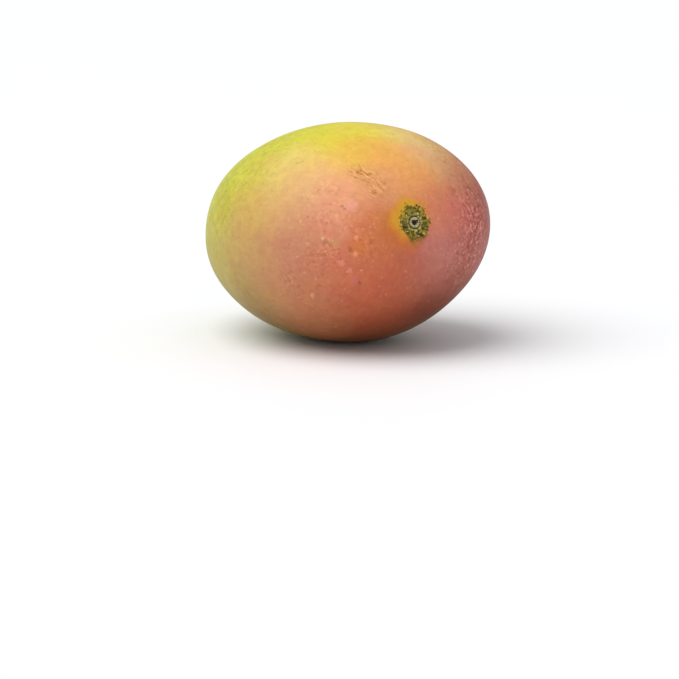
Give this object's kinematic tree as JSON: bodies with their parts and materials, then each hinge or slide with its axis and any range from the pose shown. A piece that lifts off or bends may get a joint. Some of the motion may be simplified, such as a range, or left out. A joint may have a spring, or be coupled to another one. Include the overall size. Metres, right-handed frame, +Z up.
{
  "type": "mango",
  "caption": "Whole ripe mango lying on one cheek, egg-shaped with a fuller stem end, a slight beak at the apex and a short dry stalk stub in its pit.",
  "frame": {"origin": "on the surface that the mango lies on, in its small flat spot, straight below its middle of mass", "axes": "+X from the apex to the stem end, +Y across the width of the fruit, +Z up through its cheeks"},
  "size_m": [0.1183, 0.0995, 0.0815],
  "materials": {
    "mango_skin": "smooth waxy fruit skin with a soft satin sheen, blushed red over orange, yellow and green",
    "dry_stalk": "dry, matt and fibrous"
  },
  "bodies": {
    "root": {"fruit": "mango_skin", "stalk_stub": "dry_stalk"}
  },
  "joints": []
}
